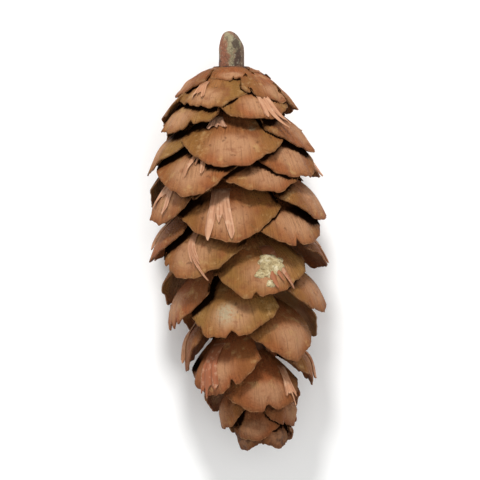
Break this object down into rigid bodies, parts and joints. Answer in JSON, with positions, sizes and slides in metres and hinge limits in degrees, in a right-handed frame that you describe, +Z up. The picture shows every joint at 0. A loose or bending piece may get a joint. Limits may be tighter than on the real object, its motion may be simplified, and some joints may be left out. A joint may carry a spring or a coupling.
{
  "type": "douglas fir cone",
  "caption": "Dry open conifer cone lying on its side, with spiral woody scales, three-pronged bracts and a short stub of stalk.",
  "frame": {"origin": "centre of the bounding box at the height of the surface that the cone lies on", "axes": "+Z up from the surface, +Y along the cone from its apex to its stalk, +X to the right seen from above with the stalk at the top"},
  "size_m": [0.04, 0.0918, 0.0379],
  "materials": {
    "scale_wood": "matt cinnamon-brown woody scales with paler, pinkish bracts",
    "stalk_bark": "rough grey-brown bark with pale flecks"
  },
  "bodies": {
    "root": {"cone": "scale_wood", "stalk": "stalk_bark"}
  },
  "joints": []
}
